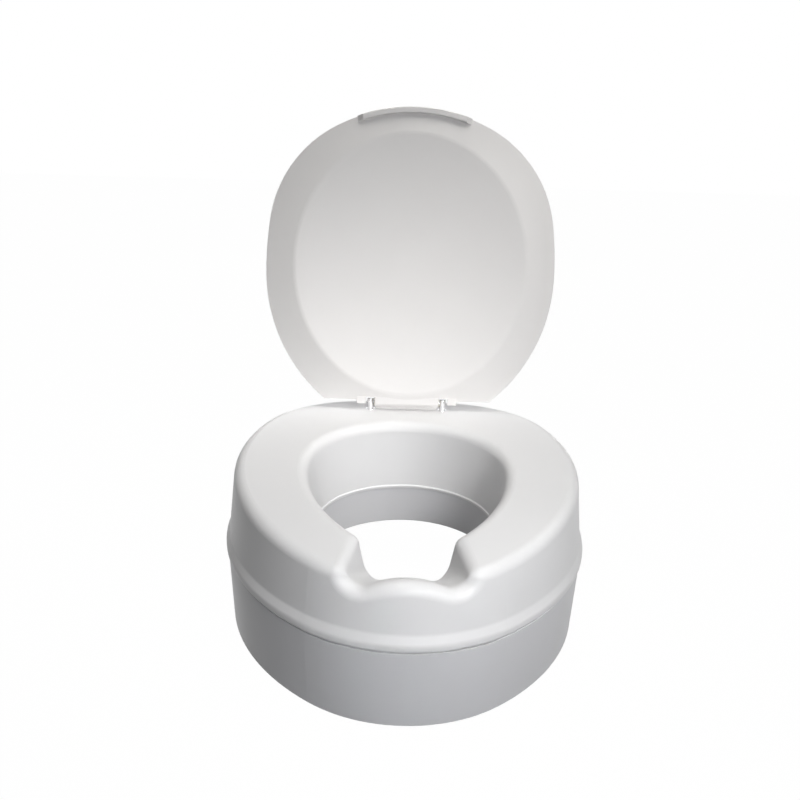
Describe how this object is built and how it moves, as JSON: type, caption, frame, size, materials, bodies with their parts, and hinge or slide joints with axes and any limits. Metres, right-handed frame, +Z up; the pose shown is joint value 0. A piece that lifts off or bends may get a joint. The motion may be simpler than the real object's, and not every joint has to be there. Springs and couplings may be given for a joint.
{
  "type": "raised toilet seat",
  "caption": "Raised toilet seat with a hinged lid, an egg-shaped aperture, a washing recess at the front, a skirt over the bowl rim and adjustable centring brackets underneath.",
  "frame": {"origin": "middle of the whole object's footprint with the lid open, on the plane of the skirt's foot", "axes": "+Z up, +X to the right as seen from the front, front (recess) towards -Y, lid hinge at +Y"},
  "size_m": [0.4, 0.4383, 0.5413],
  "materials": {
    "seat_plastic": "smooth white moulded plastic with a soft gloss",
    "skirt_plastic": "smooth white moulded plastic with a soft gloss",
    "lid_plastic": "smooth, slightly warm white moulded plastic with a soft gloss",
    "bright_chrome": "polished chrome plate",
    "pin_steel": "drawn stainless rod",
    "zinc_steel": "bright zinc plate",
    "bush_nylon": "natural nylon",
    "bracket_plastic": "fine grained white plastic",
    "black_rubber": "matt grooved rubber"
  },
  "bodies": {
    "seat": {"seat_shell": "seat_plastic", "lower_skirt": "skirt_plastic", "shell_screws": "zinc_steel", "rim_pad_front_left": "black_rubber", "rim_pad_front_right": "black_rubber", "rim_pad_side_left": "black_rubber", "rim_pad_side_right": "black_rubber", "rim_pad_rear_left": "black_rubber", "rim_pad_rear_right": "black_rubber", "bracket_screws": "zinc_steel", "bracket_nuts": "zinc_steel", "hinge_post_left": "bright_chrome", "hinge_post_right": "bright_chrome", "hinge_washers": "zinc_steel", "hinge_nuts": "zinc_steel", "hinge_pin": "pin_steel"},
    "lid_body": {"lid": "lid_plastic", "hinge_bush_left": "bush_nylon", "hinge_bush_right": "bush_nylon"},
    "bracket_front_left": {"centring_bracket_front_left": "bracket_plastic", "bracket_facing_front_left": "black_rubber"},
    "bracket_front_right": {"centring_bracket_front_right": "bracket_plastic", "bracket_facing_front_right": "black_rubber"},
    "bracket_rear_left": {"centring_bracket_rear_left": "bracket_plastic", "bracket_facing_rear_left": "black_rubber"},
    "bracket_rear_right": {"centring_bracket_rear_right": "bracket_plastic", "bracket_facing_rear_right": "black_rubber"}
  },
  "joints": [
    {"name": "lid_hinge", "type": "hinge", "parent": "seat", "child": "lid_body", "pos_m": [0, 0.16883, 0.1885], "axis": [1, 0, 0], "range_deg": [0, 98]},
    {"name": "bracket_slide_front_left", "type": "slide", "parent": "seat", "child": "bracket_front_left", "axis": [-0.9063, -0.4226, 0], "range_m": [0, 0.018]},
    {"name": "bracket_slide_front_right", "type": "slide", "parent": "seat", "child": "bracket_front_right", "axis": [0.9063, -0.4226, 0], "range_m": [0, 0.018]},
    {"name": "bracket_slide_rear_left", "type": "slide", "parent": "seat", "child": "bracket_rear_left", "axis": [-0.9397, 0.342, 0], "range_m": [0, 0.018]},
    {"name": "bracket_slide_rear_right", "type": "slide", "parent": "seat", "child": "bracket_rear_right", "axis": [0.9397, 0.342, 0], "range_m": [0, 0.018]}
  ]
}
